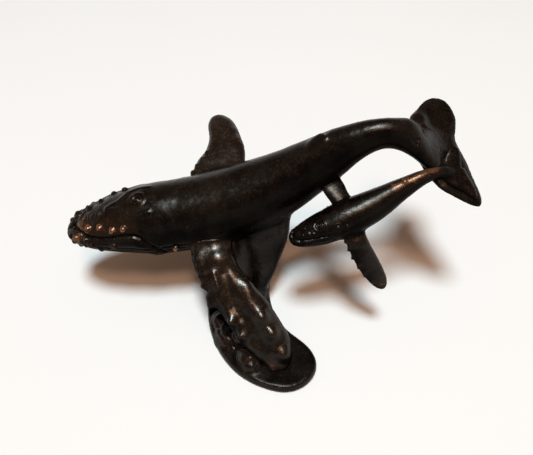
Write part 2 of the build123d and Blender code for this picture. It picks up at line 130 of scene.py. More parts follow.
class Graph:
    """Node tree of one material or of the world."""

    def __init__(self, owner: bpy.types.Material | bpy.types.World) -> None:
        """Clears the owner's node tree.

        Args:
            owner: Material or world that the nodes belong to.
        """
        owner.use_nodes = True
        self.owner = owner
        self.tree = owner.node_tree
        self.tree.nodes.clear()

    @classmethod
    def of(cls, name: str) -> "Graph":
        """Empty graph of a new material."""
        return cls(bpy.data.materials.new(name))

    def node(
        self,
        kind: str,
        settings: dict | None = None,
        inputs: dict | None = None,
        output: int | str | None = 0,
    ) -> Socket | None:
        """Adds any node.

        Args:
            kind: Blender's node type.
            settings: Properties to set on the node.
            inputs: Input names or numbers with sockets to link or values to set.
            output: Name or number of the output to return, or None for a node without one.

        Returns:
            The chosen output.
        """
        made = self.tree.nodes.new(kind)
        for key, value in (settings or {}).items():
            setattr(made, key, value)
        for key, value in (inputs or {}).items():
            if isinstance(value, Socket):
                self.tree.links.new(value.output, made.inputs[key])
            else:
                made.inputs[key].default_value = value
        return Socket(self, made.outputs[output]) if output is not None else None

    def mix(self, factor: Socket, first: Colour | Socket, second: Colour | Socket) -> Socket:
        """Colour between two, with the factor as the share of the second."""
        inputs = {MIX_FACTOR: factor, MIX_FIRST: first, MIX_SECOND: second}
        return self.node("ShaderNodeMix", {"data_type": "RGBA"}, inputs, MIX_RESULT)

    def noise(self, where: Socket, grain: Grain) -> Socket:
        """Noise about one half over some coordinates."""
        inputs = {"Vector": where, "Scale": grain.scale, "Detail": grain.detail, "Roughness": grain.rough}
        return self.node("ShaderNodeTexNoise", None, inputs)

    def seen(self) -> Socket:
        """Tells the rays that show the background from those that carry light.

        Returns:
            One for rays from the camera and for mirrored and clear ones, and nought for the rest.
        """
        kinds = ("Is Camera Ray", "Is Glossy Ray", "Is Transmission Ray")
        straight, mirrored, clear = (self.node("ShaderNodeLightPath", None, None, kind) for kind in kinds)
        return (straight + mirrored + clear).clamped()

    def finish(self, surface: Socket) -> bpy.types.Material | bpy.types.World:
        """Links the surface to the output.

        Args:
            surface: Shader of the surface.

        Returns:
            The finished material or world.
        """
        kind = "World" if isinstance(self.owner, bpy.types.World) else "Material"
        self.node("ShaderNodeOutput" + kind, None, {"Surface": surface}, None)
        return self.owner


def rgba(red: float, green: float, blue: float) -> Colour:
    """Opaque linear colour."""
    return (red, green, blue, 1.0)


@dataclass(frozen=True)
class Patina:
    """Dark brown bronze patina with rust speckle and a painted sheen, both stronger on faces that point up,
    and rubbed to copper where it stands proud.
    """

    deep: Colour = rgba(0.001, 0.0008, 0.0007)
    brown: Colour = rgba(0.0065, 0.0049, 0.0037)
    rust: Colour = rgba(0.045, 0.019, 0.0095)
    copper: Colour = rgba(0.24, 0.11, 0.056)
    sheen: Colour = rgba(1.0, 0.93, 0.84)
    cloud: Grain = Grain(110.0, 4.0)
    mottle: Grain = Grain(420.0, 5.0, 0.65)
    speck: Grain = Grain(1500.0, 3.0, 0.6)
    fine: Grain = Grain(4200.0, 2.0)
    main_share: float = 0.6
    lesser_share: float = 0.4
    brown_range: Span = (0.36, 0.66)
    rust_range: Span = (0.48, 0.66)
    # The rust speckle is real, but it is made stronger under the painted sheen, which paints faces that point
    # up lighter.
    rust_on_sheen: float = 0.6
    rust_off_sheen: float = 0.05
    rust_on_wear: float = 0.6
    rub_range: Span = (0.42, 0.95)
    rub_speck: float = 0.7
    rub_mottle: float = 0.9
    bare_metal: float = 0.75
    gloss_range: Span = (0.3, 0.75)
    gloss_low: float = 0.18
    gloss_high: float = 0.34
    # Specular levels of a shaded and a sheened copy of one surface, mixed by the painted sheen.
    shaded: float = 0.03
    sheened: float = 0.65
    sheen_even: float = 0.7
    sheen_clouded: float = 0.6
    pit_depth: float = 0.0001
    pit_strength: float = 0.48

    def material(self, name: str) -> bpy.types.Material:
        """Makes the material.

        Args:
            name: Name of the material.

        Returns:
            The patina as a node material.
        """
        graph = Graph.of(name)
        where = graph.node("ShaderNodeTexCoord", None, None, "Object")
        wear = graph.node("ShaderNodeAttribute", {"attribute_name": WEAR_AND_MOUTH_SHADOW}, None, "Fac")
        painted_sheen = graph.node("ShaderNodeAttribute", {"attribute_name": PAINTED_SHEEN}, None, "Fac")
        grains = (self.cloud, self.mottle, self.speck, self.fine)
        cloud, mottle, speck, fine = (graph.noise(where, grain) for grain in grains)
        rusty = (speck * self.main_share + mottle * self.lesser_share).ramp(*self.rust_range)
        # Painted lightening: the rust speckle shows more where the painted sheen lies, on faces that point
        # up.
        rusty = rusty * (painted_sheen * self.rust_on_sheen + self.rust_off_sheen) + wear * self.rust_on_wear
        rubbed = wear + (speck - 0.5) * self.rub_speck + (mottle - 0.5) * self.rub_mottle
        rubbed = rubbed.ramp(*self.rub_range)
        base = graph.mix(cloud.ramp(*self.brown_range), self.deep, self.brown)
        base = graph.mix(rusty.clamped(), base, self.rust)
        rough = (mottle * self.main_share + speck * self.lesser_share).ramp(*self.gloss_range)
        pits = {"Strength": self.pit_strength, "Distance": self.pit_depth, "Height": (speck + fine) * 0.5}
        shared = {
            "Base Color": graph.mix(rubbed, base, self.copper),
            "Metallic": rubbed * self.bare_metal,
            "Roughness": rough * (self.gloss_high - self.gloss_low) + self.gloss_low,
            "Normal": graph.node("ShaderNodeBump", None, pits),
            "Specular Tint": self.sheen,
        }
        # Shaded and sheened copies of one surface, as painted shade and painted sheen.
        shaded, sheened = (
            graph.node("ShaderNodeBsdfPrincipled", None, shared | {"Specular IOR Level": level})
            for level in (self.shaded, self.sheened)
        )
        # The painted sheen, broken up by clouds, picks the sheened copy.
        share = (painted_sheen * (cloud * self.sheen_clouded + self.sheen_even)).clamped()
        return graph.finish(graph.node("ShaderNodeMixShader", None, {0: share, 1: shaded, 2: sheened}))


@dataclass(frozen=True)
class DrawnRod:
    """Bare drawn brass rod with faint lines."""

    tone: Colour = rgba(0.5, 0.33, 0.16)
    shade: Colour = rgba(0.36, 0.23, 0.11)
    streak: Grain = Grain(900.0)
    tone_range: Span = (0.35, 0.65)
    gloss_range: Span = (0.2, 0.9)
    gloss_low: float = 0.2
    gloss_spread: float = 0.3

    def material(self, name: str) -> bpy.types.Material:
        """Makes the material.

        Args:
            name: Name of the material.

        Returns:
            The rod's node material.
        """
        graph = Graph.of(name)
        streak = graph.noise(graph.node("ShaderNodeTexCoord", None, None, "Object"), self.streak)
        brass = {
            "Base Color": graph.mix(streak.ramp(*self.tone_range), self.shade, self.tone),
            "Metallic": 1.0,
            "Roughness": streak.ramp(*self.gloss_range) * self.gloss_spread + self.gloss_low,
        }
        return graph.finish(graph.node("ShaderNodeBsdfPrincipled", None, brass))


def lengths_along(points: np.ndarray) -> np.ndarray:
    """Length of a line from its start to each of its points."""
    return np.concatenate([[0.0], np.cumsum(np.linalg.norm(np.diff(points, axis=0), axis=1))])


def unit_rows(rows: np.ndarray) -> np.ndarray:
    """Rows brought to a length of one."""
    return rows / np.linalg.norm(rows, axis=1)[:, None]


class Spine:
    """Smooth line through given points, with places told by share along it and angle round it."""

    def __init__(self, points: Sequence[Point], rolls: Sequence[Place], samples: int = 500) -> None:
        """Samples a natural cubic line.

        Args:
            points: Points in millimetres.
            rolls: Share along the line and lean of the back to the left, in degrees.
            samples: Number of samples.
        """
        knots = np.array(points, float) * MM
        steps = lengths_along(knots)
        self.line = self._cubic(steps, knots, np.linspace(0.0, steps[-1], samples))
        arc = lengths_along(self.line)
        self.share = arc / arc[-1]
        self.along = unit_rows(np.gradient(self.line, axis=0))
        shares, leans = zip(*rolls)
        lean = np.radians(np.interp(self.share, shares, leans))
        right = np.stack([np.zeros_like(lean), np.cos(lean), np.sin(lean)], axis=1)
        right -= self.along * np.sum(right * self.along, axis=1)[:, None]
        self.right = unit_rows(right)
        self.up = np.cross(self.along, self.right)

    @staticmethod
    def _cubic(steps: np.ndarray, knots: np.ndarray, wanted: np.ndarray) -> np.ndarray:
        """Natural cubic through knots.

        Args:
            steps: Parameter of each knot.
            knots: Knots.
            wanted: Parameters to sample.

        Returns:
            Sampled points.
        """
        gaps = np.diff(steps)
        count = len(steps)
        system = np.eye(count)
        sides = np.zeros_like(knots)
        for i in range(1, count - 1):
            system[i, i - 1 : i + 2] = gaps[i - 1], 2 * (gaps[i - 1] + gaps[i]), gaps[i]
            sides[i] = 6 * ((knots[i + 1] - knots[i]) / gaps[i] - (knots[i] - knots[i - 1]) / gaps[i - 1])
        bend = np.linalg.solve(system, sides)
        at = np.clip(np.searchsorted(steps, wanted) - 1, 0, count - 2)
        gap = gaps[at][:, None]
        left = (steps[at + 1] - wanted)[:, None]
        right = (wanted - steps[at])[:, None]
        return (
            (bend[at] * left**3 + bend[at + 1] * right**3) / (6 * gap)
            + (knots[at] / gap - bend[at] * gap / 6) * left
            + (knots[at + 1] / gap - bend[at + 1] * gap / 6) * right
        )

    def places(self, points: np.ndarray) -> tuple[np.ndarray, np.ndarray]:
        """Places of some points.

        Args:
            points: Points in metres.

        Returns:
            Shares along the line, and angles from the back to either side in degrees.
        """
        nearest = np.empty(len(points), int)
        for start in range(0, len(points), BATCH):
            part = points[start : start + BATCH]
            square = np.sum((part[:, None, :] - self.line[None, :, :]) ** 2, axis=2)
            nearest[start : start + BATCH] = np.argmin(square, axis=1)
        away = points - self.line[nearest]
        side = np.sum(away * self.right[nearest], axis=1)
        rise = np.sum(away * self.up[nearest], axis=1)
        return self.share[nearest], np.abs(np.degrees(np.arctan2(side, rise)))

    def _at(self, share: float, rows: np.ndarray) -> np.ndarray:
        """Row for a share along the line, from rows for its samples."""
        return np.array([np.interp(share, self.share, column) for column in rows.T])

    def out(self, share: float, angle: float) -> tuple[Vector, Vector]:
        """Ray from the line towards the skin.

        Args:
            share: Share along the line.
            angle: Angle from the back in degrees, positive to the left.

        Returns:
            Start and direction.
        """
        turn = math.radians(angle)
        way = self._at(share, self.up) * math.cos(turn) - self._at(share, self.right) * math.sin(turn)
        return Vector(self._at(share, self.line)), Vector(way).normalized()


def search_tree(mesh: bpy.types.Mesh) -> BVHTree:
    """Search tree of a mesh.

    Args:
        mesh: Mesh to search.

    Returns:
        The tree.
    """
    work = bmesh.new()
    work.from_mesh(mesh)
    tree = BVHTree.FromBMesh(work)
    work.free()
    return tree


class Skin:
    """Even mesh of one casting while its relief is modelled, with the wear and the painted sheen of its
    points.
    """

    def __init__(self, node: str, voxel: float, smooth: int) -> None:
        """Copies a frame node, closes it and remeshes it.

        Args:
            node: Name of the frame node.
            voxel: Edge length in millimetres.
            smooth: Rounds of smoothing.
        """
        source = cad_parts[node]
        work = bmesh.new()
        work.from_mesh(source.data)
        bmesh.ops.transform(work, matrix=source.matrix_world, verts=work.verts)
        bmesh.ops.remove_doubles(work, verts=work.verts, dist=MERGE_REACH)
        bmesh.ops.recalc_face_normals(work, faces=work.faces)
        mesh = bpy.data.meshes.new(node + "_raw")
        work.to_mesh(mesh)
        work.free()
        self.mesh = self._remeshed(mesh, voxel * MM)
        work = bmesh.new()
        work.from_mesh(self.mesh)
        for _ in range(smooth):
            bmesh.ops.smooth_vert(work, verts=work.verts, **SMOOTHING)
        bmesh.ops.recalc_face_normals(work, faces=work.faces)
        work.to_mesh(self.mesh)
        work.free()
        self.wear = np.zeros(len(self.mesh.vertices))
        self.painted_sheen = np.zeros(len(self.mesh.vertices))
        self.read()

    @staticmethod
    def _remeshed(mesh: bpy.types.Mesh, voxel: float) -> bpy.types.Mesh:
        """Even copy of a mesh.

        Args:
            mesh: Closed mesh, which is removed.
            voxel: Edge length in metres.

        Returns:
            The remeshed copy.
        """
        holder = bpy.data.objects.new("remesh", mesh)
        bpy.context.scene.collection.objects.link(holder)
        modifier = holder.modifiers.new("even", "REMESH")
        modifier.mode = "VOXEL"
        modifier.voxel_size = voxel
        evaluated = holder.evaluated_get(bpy.context.evaluated_depsgraph_get())
        even = bpy.data.meshes.new_from_object(evaluated)
        bpy.data.objects.remove(holder)
        bpy.data.meshes.remove(mesh)
        return even

    def read(self) -> None:
        """Reads points and normals from the mesh."""
        count = len(self.mesh.vertices)
        self.points = np.empty(count * 3)
        self.mesh.vertices.foreach_get("co", self.points)
        self.points = self.points.reshape(-1, 3)
        self.normals = np.empty(count * 3)
        self.mesh.vertex_normals.foreach_get("vector", self.normals)
        self.normals = self.normals.reshape(-1, 3)

    def push(self, height: np.ndarray, lean: Point | None = None) -> None:
        """Moves the skin along its normals or one way.

        Args:
            height: Height of each point in millimetres.
            lean: Way to move all points, or None for the normals.
        """
        way = self.normals if lean is None else np.array(lean)[None, :]
        moved = self.points + way * (height * MM)[:, None]
        self.mesh.vertices.foreach_set("co", moved.ravel())
        self.mesh.update()
        self.read()

    def soften(self, spots: np.ndarray, radius: float, rounds: int) -> None:
        """Smooths the skin round some spots.

        Args:
            spots: Spots in metres.
            radius: Reach in millimetres.
            rounds: Rounds of smoothing.
        """
        work = bmesh.new()
        work.from_mesh(self.mesh)
        work.verts.ensure_lookup_table()
        chosen = [work.verts[int(i)] for i in np.nonzero(self.near(spots) < radius)[0]]
        for _ in range(rounds):
            bmesh.ops.smooth_vert(work, verts=chosen, **SMOOTHING)
        work.to_mesh(self.mesh)
        work.free()
        self.mesh.update()
        self.read()

    def tree(self) -> BVHTree:
        """Search tree of the present skin."""
        return search_tree(self.mesh)

    def near(self, spots: np.ndarray) -> np.ndarray:
        """Distance from each point to the nearest of some spots.

        Args:
            spots: Spots in metres.

        Returns:
            Distances in millimetres.
        """
        best = np.full(len(self.points), np.inf)
        for spot in spots:
            best = np.minimum(best, np.sum((self.points - spot) ** 2, axis=1))
        return np.sqrt(best) / MM

    def curvature(self, rounds: int) -> np.ndarray:
        """How far each point stands proud of its surroundings.

        Args:
            rounds: Rounds of averaging, which set the size of the surroundings.

        Returns:
            Height over the surroundings in millimetres.
        """
        edges = np.empty(len(self.mesh.edges) * 2, np.int64)
        self.mesh.edges.foreach_get("vertices", edges)
        first, second = edges.reshape(-1, 2).T
        count = np.bincount(edges, minlength=len(self.points))[:, None]
        mean = self.points
        for _ in range(rounds):
            total = np.zeros_like(mean)
            np.add.at(total, first, mean[second])
            np.add.at(total, second, mean[first])
            mean = total / count
        return np.sum((self.points - mean) * self.normals, axis=1) / MM

    def rough(self, scale: float, height: float, seed: float) -> np.ndarray:
        """Cast unevenness.

        Args:
            scale: Size of the lumps in millimetres.
            height: Height in millimetres.
            seed: Offset that makes each casting differ.

        Returns:
            Heights in millimetres.
        """
        offset = Vector([seed * stride for stride in SEED_STRIDES])
        scaled = self.points / (scale * MM)
        return height * np.array([noise.noise(Vector(point) + offset) for point in scaled])


def bell(distance: np.ndarray, width: float) -> np.ndarray:
    """Round bump: one at no distance, falling to nought past the width."""
    return np.exp(-((distance / width) ** 2))


def step(value: np.ndarray, low: float, high: float) -> np.ndarray:
    """Smooth step from nought at low to one at high."""
    share = np.clip((value - low) / (high - low), 0.0, 1.0)
    return share * share * (3.0 - 2.0 * share)


@dataclass(frozen=True)
class Ring:
    """Raised or sunk ring, in shares of a feature's size. A ring at no distance is a dome."""

    distance: float
    width: float
    height: float

    def rise(self, apart: np.ndarray, size: float = 1.0) -> np.ndarray:
        """Height of points that lie some way from the centre, in the unit of the size."""
        return self.height * size * bell(apart - self.distance * size, self.width * size)


@dataclass(frozen=True)
class Mark:
    """Spots or a line on a casting: raised, sunk, softened in rounds or rubbed. Lengths in millimetres."""

    points: tuple[Point, ...]
    radius: float
    height: float = 0.0
    wear: float = 0.0
    joined: bool = False
    soft: int = 0
    lean: Point | None = None
    samples: int = 12

    def spots(self, tree: BVHTree) -> np.ndarray:
        """Nearest places on the skin.

        Args:
            tree: Search tree of the skin.

        Returns:
            Places in metres.
        """
        points = np.array(self.points) * MM
        if self.joined:
            knots = range(len(points))
            steps = np.linspace(0.0, len(points) - 1.0, self.samples * len(points))
            points = np.stack([np.interp(steps, knots, column) for column in points.T], axis=1)
        return np.array([tree.find_nearest(Vector(point))[0] for point in points])


@dataclass
class Casting:
    """One bronze casting, with the reach of its fillet to each neighbour. Lengths in millimetres."""

    node: str
    voxel: float = 0.3
    smooth: int = 4
    marks: tuple[Mark, ...] = ()
    joints: dict[str, float] = field(default_factory=dict)
    fillet_ease: float = 4.0
    seed: float = 1.0
    lump_size: float = 5.0
    uneven: float = 0.1
    pit_size: float = 1.4
    pit_height: float = 0.03
    pit_seed: float = 9.0
    edge_wear: float = 0.3
    edge_rounds: int = 3
    edge_range: Span = (0.02, 0.14)
    hollow_rounds: int = 8
    hollow_range: Span = (0.04, 0.22)
    # Shares of the painted sheen that hollows lose, as painted shade, and that joints lose.
    hollow_sheen_loss: float = 0.8
    seam_range: Span = (0.3, 1.6)
    seam_sheen_loss: float = 0.85
    upward_range: Span = (0.3, 0.88)
    skin: Skin = field(init=False)
    seam: np.ndarray = field(init=False)

    def build(self) -> bpy.types.Object:
        """Makes the piece.

        Returns:
            The piece's object.
        """
        self.skin = Skin(self.node, self.voxel, self.smooth)
        self.relief()
        self.chase()
        self.cast()
        return self.piece()

    def relief(self) -> None:
        """Models what the animal or the wave shows on this casting."""
        for mark in self.marks:
            spots = mark.spots(self.skin.tree())
            if mark.soft:
                self.skin.soften(spots, mark.radius, mark.soft)
            shape = bell(self.skin.near(spots), mark.radius)
            self.skin.push(mark.height * shape, mark.lean)
            self.skin.wear += mark.wear * shape

    def chase(self) -> None:
        """Runs the joints to the neighbours out in soft fillets."""
        self.seam = np.zeros(len(self.skin.points))
        for neighbour, reach in self.joints.items():
            tree = search_tree(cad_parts[neighbour].data)
            apart = np.full(len(self.skin.points), reach)
            for i, point in enumerate(self.skin.points):
                found, _, _, distance = tree.find_nearest(point, reach * MM)
                if found is not None:
                    apart[i] = distance / MM
            self.skin.push((reach - apart) ** 2 / (self.fillet_ease * reach))
            self.seam = np.maximum(self.seam, 1.0 - step(apart, *self.seam_range))

    def cast(self) -> None:
        """Adds the unevenness of a casting, the wear of its high points and a painted sheen on what faces up,
        which hollows lose as painted shade and joints lose too.
        """
        lumps = self.skin.rough(self.lump_size, self.uneven, self.seed)
        self.skin.push(lumps + self.skin.rough(self.pit_size, self.pit_height, self.seed + self.pit_seed))
        self.skin.wear += self.edge_wear * step(self.skin.curvature(self.edge_rounds), *self.edge_range)
        hollow = step(-self.skin.curvature(self.hollow_rounds), *self.hollow_range)
        upward = step(self.skin.normals[:, 2], *self.upward_range)
        # Painted sheen: faces that point up get the shinier surface; hollows lose it as painted shade, and
        # joints lose it too.
        self.skin.painted_sheen = upward * (1.0 - self.hollow_sheen_loss * hollow) * (1.0 - self.seam_sheen_loss * self.seam)

    def piece(self) -> bpy.types.Object:
        """Turns the skin into a piece of the object.

        Returns:
            The piece, riding on its body.
        """
        mesh = self.skin.mesh
        mesh.polygons.foreach_set("use_smooth", np.ones(len(mesh.polygons), bool))
        for name, values in ((WEAR_AND_MOUTH_SHADOW, self.skin.wear), (PAINTED_SHEEN, self.skin.painted_sheen)):
            layer = mesh.attributes.new(name, "FLOAT", "POINT")
            layer.data.foreach_set("value", np.clip(values, 0.0, 1.0))
        mesh.update()
        made = bpy.data.objects.new("skin_" + self.node, mesh)
        bpy.context.scene.collection.objects.link(made)
        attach(made, BODY)
        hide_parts(self.node)
        return made

    def dress(self, made: bpy.types.Object, material: bpy.types.Material) -> None:
        """Gives the piece its finish.

        Args:
            made: The piece.
            material: The finish.
        """
        made.data.materials.clear()
        made.data.materials.append(material)
        LOG.info("%s: %d faces", made.name, len(made.data.polygons))


class Feature(Protocol):
    """Part of an animal's head that is modelled in its skin."""

    def carve(self, skin: Skin, spine: Spine) -> None:
        """Models the feature in the skin, at places told by the spine."""


@dataclass(frozen=True)
class Track:
    """Line on an animal's skin, told by shares along the spine and angles from the back in degrees."""

    places: tuple[Place, ...]
    sides: Side = Side.BOTH
    samples: int = 60

    def spots(self, spine: Spine, tree: BVHTree) -> np.ndarray:
        """Points of the line on the skin.

        Args:
            spine: Spine that the places are told by.
            tree: Search tree of the skin.

        Returns:
            Points in metres.
        """
        shares, angles = zip(*self.places)
        knots = range(len(self.places))
        found = []
        for side in self.sides.value:
            for at in np.linspace(0.0, len(self.places) - 1.0, self.samples):
                share = float(np.interp(at, knots, shares))
                angle = float(np.interp(at, knots, angles)) * side
                hit = tree.ray_cast(*spine.out(share, angle), RAY_REACH)[0]
                if hit is not None:
                    found.append(hit)
        return np.array(found)


@dataclass(frozen=True)
class Mouth:
    """Mouth line under a lip, with the upper jaw set back behind the lower one. Lengths in millimetres."""

    line: tuple[Place, ...]
    width: float = 0.55
    depth: float = 0.8
    lip: float = 0.55
    lower_lip: Ring = Ring(2.4, 2.2, 1.0)
    upper_lip: Ring = Ring(1.3, 0.9, 0.55)
    lip_end: int = 4
    jaw_range: Span = (-4.0, 4.0)
    snout_depth: float = 1.6
    snout_share: float = 0.05
    snout_range: Span = (-12.0, 2.0)
    shadow: float = 0.5
    shadow_width: float = 1.5

    def carve(self, skin: Skin, spine: Spine) -> None:
        """Sets the snout back, cuts the mouth, and paints a shadow along it.

        Args:
            skin: Skin of the animal.
            spine: Its spine.
        """
        share, below = self._below(skin, spine)
        upper = 1.0 - step(below, *self.snout_range)
        skin.push(-self.snout_depth * upper * (1.0 - step(share, 0.0, self.snout_share)))
        apart = skin.near(Track(self.line).spots(spine, skin.tree()))
        share, below = self._below(skin, spine)
        lower = step(below, *self.jaw_range)
        front = 1.0 - step(share, self.line[-self.lip_end][0], self.line[-1][0])
        lips = lower * self.lower_lip.rise(apart) + (1.0 - lower) * self.upper_lip.rise(apart)
        skin.push(self.lip * front * lips - self.depth * bell(apart, self.width))
        # Painted shadow: wear, and with it copper and rust, is taken away along the mouth line.
        skin.wear -= self.shadow * bell(apart, self.width * self.shadow_width)

    def _below(self, skin: Skin, spine: Spine) -> tuple[np.ndarray, np.ndarray]:
        """Places of the skin's points against the mouth line.

        Args:
            skin: Skin of the animal.
            spine: Its spine.

        Returns:
            Shares along the spine, and angles below the mouth line in degrees.
        """
        share, angle = spine.places(skin.points)
        shares, angles = zip(*self.line)
        return share, angle - np.interp(share, shares, angles)


@dataclass(frozen=True)
class Pleats:
    """Throat pleats, each told by its angle from the back in degrees. Lengths in millimetres."""

    angles: tuple[float, ...]
    depth: float = 0.45
    width: float = 0.45
    shares: Span = (0.06, 0.42)
    start_fade: float = 0.06
    end_fade: float = 0.12
    bow: float = 10.0
    bow_points: int = 9

    def carve(self, skin: Skin, spine: Spine) -> None:
        """Cuts the pleats, fading at both ends.

        Args:
            skin: Skin of the animal.
            spine: Its spine.
        """
        share = spine.places(skin.points)[0]
        start, end = self.shares
        fade = step(share, start, start + self.start_fade) * (1.0 - step(share, end - self.end_fade, end))
        tree = skin.tree()
        cut = np.zeros(len(skin.points))
        for angle in self.angles:
            cut = np.maximum(cut, bell(skin.near(self._track(angle).spots(spine, tree)), self.width))
        skin.push(-self.depth * cut * fade)

    def _track(self, angle: float) -> Track:
        """Line of one pleat, bowed down along the throat.

        Args:
            angle: Angle of its ends from the back in degrees.

        Returns:
            The line, on both sides.
        """
        start, end = self.shares
        shares = np.linspace(start, end, self.bow_points)
        bows = self.bow * np.sin(math.pi * (shares - start) / (end - start))
        return Track(tuple(zip(shares, angle + bows)))


@dataclass(frozen=True)
class Blowhole:
    """Guard, lips and slits of the blowhole, with a brow. Lengths in shares of its size in millimetres."""

    share: float
    size: float = 2.4
    rise: float = 0.13
    angle: float = 0.0
    squeeze: float = 1.05
    open_fall: float = 0.6
    open_range: Span = (0.1, 0.9)
    lips: tuple[Ring, ...] = (Ring(1.0, 0.13, 1.0), Ring(0.58, 0.13, 1.0), Ring(0.2, 0.13, 1.0))
    slits: tuple[Ring, ...] = (Ring(0.79, 0.1, -0.9), Ring(0.39, 0.1, -0.9))
    brow: tuple[Place, ...] = ()
    brow_width: float = 0.28
    brow_rise: float = 0.13

    def carve(self, skin: Skin, spine: Spine) -> None:
        """Raises the curved lips, sinks the slits between them, and raises the brow where there is one.

        Args:
            skin: Skin of the animal.
            spine: Its spine.
        """
        tree = skin.tree()
        start, direction = spine.out(self.share, self.angle)
        centre = tree.ray_cast(start, direction, RAY_REACH)[0]
        forward = spine.along[int(np.argmin(np.abs(spine.share - self.share)))]
        away = (skin.points - np.array(centre)) / MM
        along = away @ forward
        aside = away @ np.cross(direction, forward)
        flat = np.hypot(along, aside * self.squeeze)
        near = bell(away @ np.array(direction), self.size)
        low, high = self.open_range
        open_end = 1.0 - self.open_fall * step(-along, low * self.size, high * self.size)
        rings = sum(ring.rise(flat, self.size) for ring in self.lips + self.slits)
        height = self.rise * near * open_end * rings
        if self.brow:
            apart = skin.near(Track(self.brow).spots(spine, tree))
            height += self.size * self.brow_rise * bell(apart, self.size * self.brow_width)
        skin.push(height)


@dataclass(frozen=True)
class Eyes:
    """An eye in shallow rings on each side. Lengths in shares of its size in millimetres."""

    place: Place
    size: float
    rings: tuple[Ring, ...] = (Ring(0.0, 0.75, 0.45), Ring(1.4, 0.35, -0.2), Ring(2.2, 0.5, 0.14))
    wear: float = 0.25
    wear_width: float = 0.7

    def carve(self, skin: Skin, spine: Spine) -> None:
        """Sets the eyes in the skin.

        Args:
            skin: Skin of the animal.
            spine: Its spine.
        """
        apart = skin.near(Track((self.place,), samples=1).spots(spine, skin.tree()))
        skin.push(sum(ring.rise(apart, self.size) for ring in self.rings))
        skin.wear += self.wear * bell(apart, self.size * self.wear_width)


@dataclass(frozen=True)
class WartRow:
    """Places of warts of one size. Lengths in millimetres."""

    places: tuple[Place, ...]
    radius: float
    height: float
    wear: float = 0.0
    sides: Side = Side.BOTH


@dataclass(frozen=True)
class Warts:
    """Rows of round warts, each wart in a shallow moat in shares of its radius."""

    rows: tuple[WartRow, ...]
    moat: Ring = Ring(1.55, 0.3, -0.15)
    wear_width: float = 0.9

    def carve(self, skin: Skin, spine: Spine) -> None:
        """Raises the warts.

        Args:
            skin: Skin of the animal.
            spine: Its spine.
        """
        tree = skin.tree()
        for row in self.rows:
            spots = [Track((place,), row.sides, 1).spots(spine, tree) for place in row.places]
            apart = skin.near(np.concatenate(spots))
            skin.push(row.height * bell(apart, row.radius) + self.moat.rise(apart, row.radius))
            skin.wear += row.wear * bell(apart, row.radius * self.wear_width)


@dataclass
class Animal(Casting):
    """Body casting of a whale, with its head modelled in relief."""

    spine: Spine | None = None
    features: tuple[Feature, ...] = ()

    def relief(self) -> None:
        """Models the marks of the body and then the features of the head, in order."""
        super().relief()
        for feature in self.features:
            feature.carve(self.skin, self.spine)


@dataclass
class Wave(Casting):
    """Foot with soft swells, worn rocks and a rolled rim. Lengths in millimetres."""

    swell: float = 0.3
    swell_size: float = 9.0
    swell_seed: float = 4.0
    swell_range: Span = (5.0, 9.0)
    rock_rough: float = 0.5
    rock_size: float = 2.0
    rock_seed: float = 6.0
    rock_start: Span = (3.0, 3.6)
    rock_end: Span = (5.5, 8.0)
    # Painted sheen on the slopes of the wave, which the flat top loses as painted shade.
    slope_sheen: float = 0.7
    slope_range: Span = (0.1, 0.85)
    flat_range: Span = (0.86, 0.97)
    flat_sheen_loss: float = 0.8

    def relief(self) -> None:
        """Runs soft swells over the wave and breaks up the rocks."""
        super().relief()
        height = self.skin.points[:, 2] / MM
        rocky = step(height, *self.rock_start) * (1.0 - step(height, *self.rock_end))
        swells = self.skin.rough(self.swell_size, self.swell, self.swell_seed)
        rocks = self.skin.rough(self.rock_size, self.rock_rough, self.rock_seed)
        self.skin.push(swells * step(height, *self.swell_range) + rocks * rocky)

    def cast(self) -> None:
        """Casts the wave, keeps its underside flat, and gives its slopes a painted sheen that the flat top of
        the foot loses as painted shade.
        """
        super().cast()
        self.skin.push(np.maximum(0.0, -self.skin.points[:, 2]) / MM, (0.0, 0.0, 1.0))
        facing = self.skin.normals[:, 2]
        # Painted sheen on the slopes, painted shade on the flat top, and less sheen at joints.
        slope = step(facing, *self.slope_range) * (1.0 - self.flat_sheen_loss * step(facing, *self.flat_range))
        self.skin.painted_sheen = self.slope_sheen * slope * (1.0 - self.seam_sheen_loss * self.seam)


MOTHER_SPINE = Spine(
    (
        (-57.0, 0.0, 21.4), (-37.65, 0.0, 23.8), (-15.1, 0.0, 25.6), (4.8, 0.0, 32.7),
        (22.0, -0.9, 44.6), (35.5, -2.4, 51.2), (44.1, -3.3, 48.2), (50.5, -4.0, 42.9),
    ),
    ((0.0, 9.0), (0.16, 8.5), (0.29, 7.0), (0.4, 5.5), (0.6, 1.0), (0.7, 0.0), (0.86, 11.5), (1.0, 25.0)),
)
CALF_SPINE = Spine(
    (
        (7.6, -17.8, 28.8), (16.5, -16.3, 30.7), (23.3, -15.2, 32.4), (32.2, -13.7, 35.8),
        (40.7, -12.2, 40.6), (46.1, -11.3, 42.7), (52.4, -10.3, 42.2),
    ),
    ((0.0, 0.0), (1.0, 12.0)),
)


